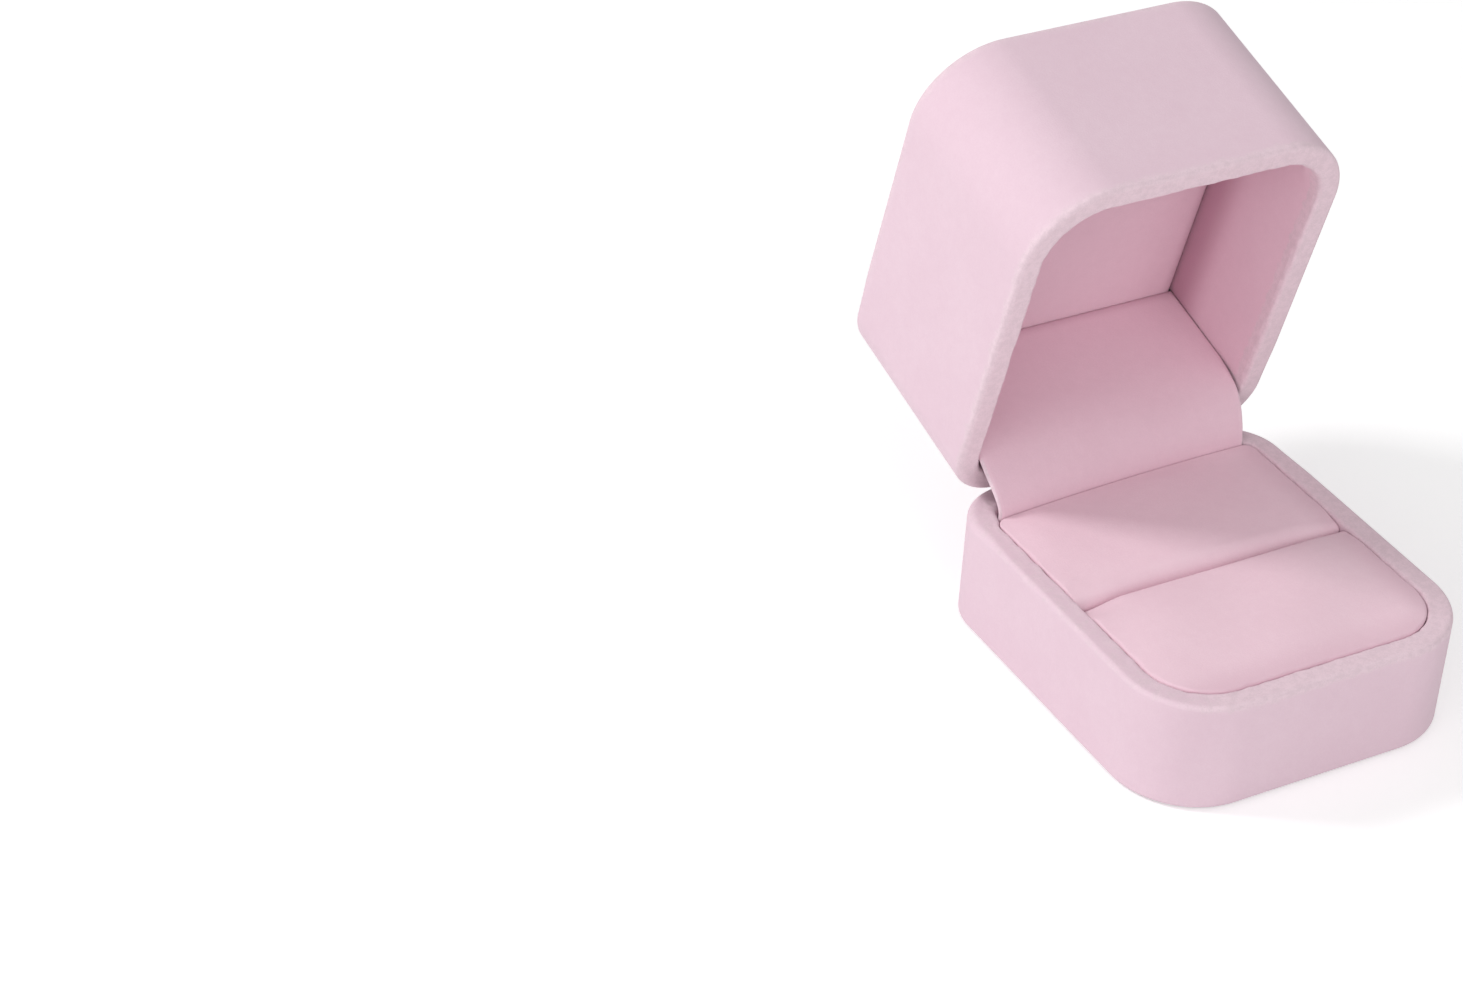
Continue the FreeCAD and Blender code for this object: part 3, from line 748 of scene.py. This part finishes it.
flap_points, flap_normals = soft_bend(
    FLAP_BASE_Y,
    FLAP_LID_Y,
    low=BASE_HEIGHT - FLAP_TAIL,
    leaves=BASE_HEIGHT,
    lands=LID_Z + FLAP_LANDS,
    high=LID_Z + CEILING_DEPTH - CEILING_GAP,
)
flap_rise = smooth(flap_points[:, 1], BASE_HEIGHT, BASE_HEIGHT + FLAP_FREE)
flap_in_lid = swung(np.insert(flap_points, 0, 0, axis=1), -OPEN)
flap_in_lid = flap_in_lid - (0, DEPTH / 2 - BACK_RADIUS, LID_Z)
flap_depth = flap_in_lid[:, 2]
corner_radius = BACK_RADIUS - RIM
into_corner = np.clip(flap_in_lid[:, 1], 0, corner_radius)
beside_flap = WIDTH / 2 - BACK_RADIUS + np.sqrt(corner_radius**2 - into_corner**2)
flap_left = -FLAP_LEFT - LEFT_WIDENING * flap_rise
right_widening = (beside_flap - FLAP_GAP - FLAP_RIGHT) * smooth(flap_depth, *INTO_LID)
right_pinch = MOUTH_PINCH * hump(flap_depth, INTO_MOUTH, PAST_MOUTH)
flap_right = FLAP_RIGHT + right_widening - right_pinch
flap_grid = soft_band(flap_points, flap_normals, flap_left, flap_right, FLAP, FLAP_COLUMNS)
flap_x = flap_grid[:, :, 0]
flap_edge = np.minimum(flap_x - flap_left[:, None], flap_right[:, None] - flap_x)
flap_length = np.arange(len(flap_points))[:, None] * PATH_STEP
flap_length = np.broadcast_to(flap_length, flap_x.shape)
free = (flap_rise * (1 - smooth(flap_depth, *GLUED_TO_LID)))[:, None]
flap_wave = lumps(flap_x, flap_length, **FLAP_WAVES) * free
flap_grid[:, :, 1:] += flap_normals[:, None, :] * flap_wave[:, :, None]
flap_grid[:, :, 1] += back_line(flap_x) * (1 - flap_rise)[:, None]
# Painted shade by the ceiling and at the foot behind the rear pad; painted highlight, then painted
# shade, along the cut edges.
flap_top_shade = smooth(flap_depth[:, None], CEILING_DEPTH - TOP_SHADE_DEPTH, CEILING_DEPTH)
flap_edge_light_and_shade = 1 - CUT_EDGE_SHADE * smooth(flap_depth[:, None], *CUT_EDGE_SHADE_DEPTHS)
flap_edge_light_and_shade = (1 - smooth(flap_edge, *CUT_EDGE)) * flap_edge_light_and_shade
flap_foot_shade = 1 - smooth(flap_points[:, 1:] - BASE_HEIGHT, *FOOT_SHADE_RISE)
flap_painted_light = flap_edge_light_and_shade - TOP_SHADE * flap_top_shade - FOOT_SHADE * flap_foot_shade
flap = closed_band("hinge_flap_velvet", flap_grid, inner_velvet_painted_pinker, flap_painted_light)
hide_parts("hinge_flap")
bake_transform(flap)


# Lid shell: the same moulded plastic as the base, a tube of wall with a partition across it that
# carries a pad on each side. Velvet and linings cover all of it.
dress(shell_plastic, "lid_shell")


# Lid wrap: one strip of the same velvet glued round the outside of the lid, over both its edges and
# turned in. It is crushed along the edges, most on the inner half of the rim round the mouth, and
# open where the lining and the hinge take its place.
LID_HEIGHT = 33.3
LID_TURN_IN, TOP_TURN_IN = 1.0, 4.5
LID_TURN_STEP, LID_WALL_STEP = 0.7, 1.2
LINING_BACK = 22.0
LID_PILE_SEED = 2
lined = plan[:, 1] < LINING_BACK
rim_inside = (RIM, LID_TURN_IN)
lid_inside = np.vstack([run((RIM, TURN_IN), rim_inside, LID_TURN_STEP), [rim_inside]])
lid_by_hinge = run((0, BACK_RIM_ROUND), (0, HINGE_WINDOW), LID_WALL_STEP)[1:]
lid_profile = joined(
    len(plan),
    lid_inside,
    turned_edge[:, ::-1],
    lid_by_hinge,
    run((0, HINGE_WINDOW), (0, LID_HEIGHT - BACK_RIM_ROUND), LID_WALL_STEP),
    turned_edge * (1, -1) + (0, LID_HEIGHT),
    run((RIM, LID_HEIGHT - INNER_ROUND), (RIM, LID_HEIGHT - TOP_TURN_IN), TURN_STEP)[1:],
)
lid_half = LID_HEIGHT / 2
lid_rise = lid_profile[:, :, 1] - lid_half
lid_crush = smooth(np.abs(lid_rise), lid_half - CRUSH_STARTS, lid_half - CRUSH_FULL)
lid_nap = np.where((lid_rise < 0) & (lid_profile[:, :, 0] > RIM / 2), 1.0, lid_crush)
mouth_crush = lid_crush * (lid_profile[:, :, 1] < LID_TURN_IN)
lid_profile = ragged(lid_profile, mouth_crush, (RIM / 2, CRUSH_STARTS), LID_PILE_SEED)
lid_window = len(lid_inside) + turned_edge.shape[1] + len(lid_by_hinge)
lid_cells = np.arange(lid_profile.shape[1] - 1)[None, :]
over_lining = (lined & np.roll(lined, -1))[:, None] & (lid_cells < len(lid_inside) - 1)
over_hinge = on_back[:, None] & (lid_cells < lid_window)
lid_wrap = wrapped_sheet(
    "lid_wrap_velvet",
    swung(carried_round(plan, plan_normals, lid_profile + (0, LID_Z))),
    outer_velvet,
    lid_nap,
    keep=~(over_lining | over_hinge),
)
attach(lid_wrap, "lid")
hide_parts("lid_wrap")


# Lid ceiling: a card with thin foam under velvet, pushed up into the lid against the partition.
# Its edge is rolled, and painted shade darkens the velvet along it.
CEILING_FOAM, CEILING_ROLL = 2.9, 1.1
CEILING_SHADE, CEILING_SHADE_EDGE = 0.55, (0.2, 3.0)
PANEL_GRID = (100, 100)
ceiling_shape = inset_shape(PAD_INSET)
ceiling_half, ceiling_deep = ceiling_shape[0] - CEILING_GAP, ceiling_shape[2] - CEILING_GAP
ceiling_shape = (ceiling_half, -ceiling_deep, ceiling_deep, *ceiling_shape[3:])
ceiling_x, ceiling_y = rounded_rows(*ceiling_shape, *PANEL_GRID)
ceiling_edge = edge_distance(ceiling_x, ceiling_y, *ceiling_shape)
ceiling_low = LID_Z + CEILING_DEPTH
ceiling = padded_block(
    "lid_ceiling_pad",
    ceiling_x,
    ceiling_y,
    ceiling_low + quarter_roll(ceiling_edge, CEILING_ROLL),
    ceiling_low + CEILING_FOAM,
    inner_velvet_painted_pinker,
    CEILING_SHADE * smooth(ceiling_edge, *CEILING_SHADE_EDGE) - CEILING_SHADE,
    place=swung,
    flip=True,
)
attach(ceiling, "lid")
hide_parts("lid_ceiling_cover", "lid_ceiling_foam")


# Lid wall lining: one strip of velvet on card, bent round the left, front and right walls inside the
# lid, flush with the rim. It bridges the front corners a little, because the card resists the bend, and
# painted shade marks where it creases there. Its tone is painted darker towards the ceiling, as painted
# shade, and paler near the rim where the pile is crushed. Ranges are depths into the lid.
LINING, LINING_STEP, LINING_TUCK = 0.55, 0.3, 1.5
CORNER_BRIDGE, BRIDGE_GROWS_TO, BRIDGE_FADES_FROM = 0.7, 4, 5
LINING_CRUSHED, LINING_SHADE_DEPTH = (1.2, 3.6), 10
CORNER_CREASE_SHADE, CREASE_STARTS, CREASE_ENDS = 0.6, (1, 2), (3, 7)
lining_plan, lining_normals = plan[lined], plan_normals[lined]
lining_profile = run((RIM, LID_TURN_IN), (RIM, CEILING_DEPTH + LINING_TUCK), LINING_STEP)
lining_grid = carried_round(lining_plan, lining_normals, lining_profile + (0, LID_Z))
lining_depth = lining_profile[:, 1]
corner_share = 2 * np.abs(lining_normals.prod(axis=1)) * (lining_plan[:, 1] < 0)
corner_share = corner_share[:, None]
slack = hump(lining_depth, (LID_TURN_IN, BRIDGE_GROWS_TO), (BRIDGE_FADES_FROM, CEILING_DEPTH))
bridge = CORNER_BRIDGE * corner_share * slack
lining_grid[:, :, :2] -= bridge[:, :, None] * lining_normals[:, None, :]
# Painted shade: the lining darkens over the last millimetres towards the ceiling.
lining_shade = smooth(lining_depth, CEILING_DEPTH - LINING_SHADE_DEPTH, CEILING_DEPTH)
lining_crush_and_shade = 1 - smooth(lining_depth, *LINING_CRUSHED) - lining_shade
# Painted shade in the front corners, where the lining would crease.
crease_shade = hump(lining_depth, CREASE_STARTS, CREASE_ENDS)
lining_crush_and_shade = lining_crush_and_shade - CORNER_CREASE_SHADE * corner_share**3 * crease_shade
lining = new_piece(
    "lid_wall_lining_velvet",
    swung(lining_grid).reshape(-1, 3),
    quads_of(numbered(lining_grid.shape)[::-1]).reshape(-1, 4).tolist(),
    inner_velvet_painted_pinker,
    lining_crush_and_shade.ravel(),
)
thicken(lining, LINING)
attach(lining, "lid")
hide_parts("lid_wall_lining")


# Lid top: a padded velvet panel on card, let into the top of the lid inside the rolled edge.
# It is slightly crowned, and its edge rolls down against the wrap.
TOP_FOAM, TOP_CROWN, TOP_ROLL = 4.5, 0.6, 1.2
top_shape = inset_shape(PAD_INSET)
top_x, top_y = rounded_rows(*top_shape, *PANEL_GRID)
top_fall = (top_x / top_shape[0]) ** 2 + (top_y / top_shape[2]) ** 2
top_rise = LID_Z + LID_HEIGHT - TOP_CROWN * top_fall / 2
top_rise = top_rise - quarter_roll(edge_distance(top_x, top_y, *top_shape), TOP_ROLL)
top_low = LID_Z + LID_HEIGHT - TOP_FOAM
top_pad = padded_block("lid_top_pad", top_x, top_y, top_rise, top_low, outer_velvet, place=swung)
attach(top_pad, "lid")
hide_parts("lid_top_cover", "lid_top_foam")


# Studio: white paper under the box in a plain white room, with soft lights from the left behind, the
# left and the front. Paper and room are shown whiter than the light that they throw on the box.
FLOOR_HALF = 4
PAPER_WHITE, PAPER_GLOW = (0.85, 0.85, 0.85, 1), 0.34
ROOM_LIGHT = 0.45
WHITE = (1, 1, 1, 1)


def shown_white(tree, lit, white):
    """Mix of two shaders: the first lights the box, the second is what the camera sees, also in
    reflections and through glass. Its share is the highest of those three kinds of ray."""
    rays = tree.nodes.new("ShaderNodeLightPath").outputs

    def either(first, second):
        node = tree.nodes.new("ShaderNodeMath")
        node.operation = "MAXIMUM"
        tree.links.new(first, node.inputs[0])
        tree.links.new(second, node.inputs[1])
        return node.outputs["Value"]

    mirrored = either(rays["Is Glossy Ray"], rays["Is Transmission Ray"])
    mix = tree.nodes.new("ShaderNodeMixShader")
    tree.links.new(either(rays["Is Camera Ray"], mirrored), mix.inputs[0])
    tree.links.new(lit, mix.inputs[1])
    tree.links.new(white, mix.inputs[2])
    return mix.outputs[0]


floor_corners = [
    (-FLOOR_HALF, -FLOOR_HALF, 0),
    (FLOOR_HALF, -FLOOR_HALF, 0),
    (FLOOR_HALF, FLOOR_HALF, 0),
    (-FLOOR_HALF, FLOOR_HALF, 0),
]
floor_mesh = bpy.data.meshes.new("floor")
floor_mesh.from_pydata(floor_corners, [], [(0, 1, 2, 3)])
floor = bpy.data.objects.new("floor", floor_mesh)
bpy.context.scene.collection.objects.link(floor)
paper = bpy.data.materials.new("white_paper")
paper.use_nodes = True
paper_nodes, paper_links = paper.node_tree.nodes, paper.node_tree.links
plain_paper = paper_nodes["Principled BSDF"]
plain_paper.inputs["Base Color"].default_value = PAPER_WHITE
plain_paper.inputs["Roughness"].default_value = 1.0
glow = paper_nodes.new("ShaderNodeEmission")
glow.inputs["Strength"].default_value = PAPER_GLOW
bright_paper = paper_nodes.new("ShaderNodeAddShader")
paper_links.new(plain_paper.outputs[0], bright_paper.inputs[0])
paper_links.new(glow.outputs[0], bright_paper.inputs[1])
seen_paper = shown_white(paper.node_tree, plain_paper.outputs[0], bright_paper.outputs[0])
paper_links.new(seen_paper, paper_nodes["Material Output"].inputs["Surface"])
floor_mesh.materials.append(paper)

world = bpy.data.worlds.new("surround")
world.use_nodes = True
world_nodes = world.node_tree.nodes
surround = world_nodes["Background"]
surround.inputs["Color"].default_value = WHITE
surround.inputs["Strength"].default_value = ROOM_LIGHT
backdrop = world_nodes.new("ShaderNodeBackground")
backdrop.inputs["Color"].default_value = WHITE
seen_room = shown_white(world.node_tree, surround.outputs[0], backdrop.outputs[0])
world.node_tree.links.new(seen_room, world_nodes["World Output"].inputs["Surface"])
bpy.context.scene.world = world
bpy.context.scene.view_settings.view_transform = "Standard"


def soft_light(name, place, size, watts):
    """Square soft light that faces the box: its back points along the line from the box to it."""
    lamp = bpy.data.lights.new(name, "AREA")
    lamp.shape = "SQUARE"
    lamp.size = size
    lamp.energy = watts
    light = bpy.data.objects.new(name, lamp)
    light.location = place
    light.rotation_euler = light.location.to_track_quat("Z", "Y").to_euler()
    bpy.context.scene.collection.objects.link(light)


soft_light("key", place=(-0.65, 0.45, 0.62), size=0.2, watts=4.0)
soft_light("side", place=(-0.81, -0.47, 0.34), size=0.7, watts=2.1)
soft_light("front", place=(0, -0.82, 0.57), size=0.7, watts=2.7)


# Camera: the photograph's own view, from high at the left front. Its place, turn and lens were solved
# from the straight edges and the corners of the box.
LENS_MM, SENSOR_MM = 86.79, 36.0
CAMERA_PLACE = (-0.27392, -0.33185, 0.31737)
CAMERA_TURN = (0.96577, -0.04574, -0.49228)
camera_data = bpy.data.cameras.new("camera")
camera_data.sensor_width = SENSOR_MM
camera_data.sensor_fit = "HORIZONTAL"
camera_data.lens = LENS_MM
camera_data.clip_start = 0.01
camera = bpy.data.objects.new("camera", camera_data)
camera.location = CAMERA_PLACE
camera.rotation_euler = CAMERA_TURN
bpy.context.scene.collection.objects.link(camera)
bpy.context.scene.camera = camera
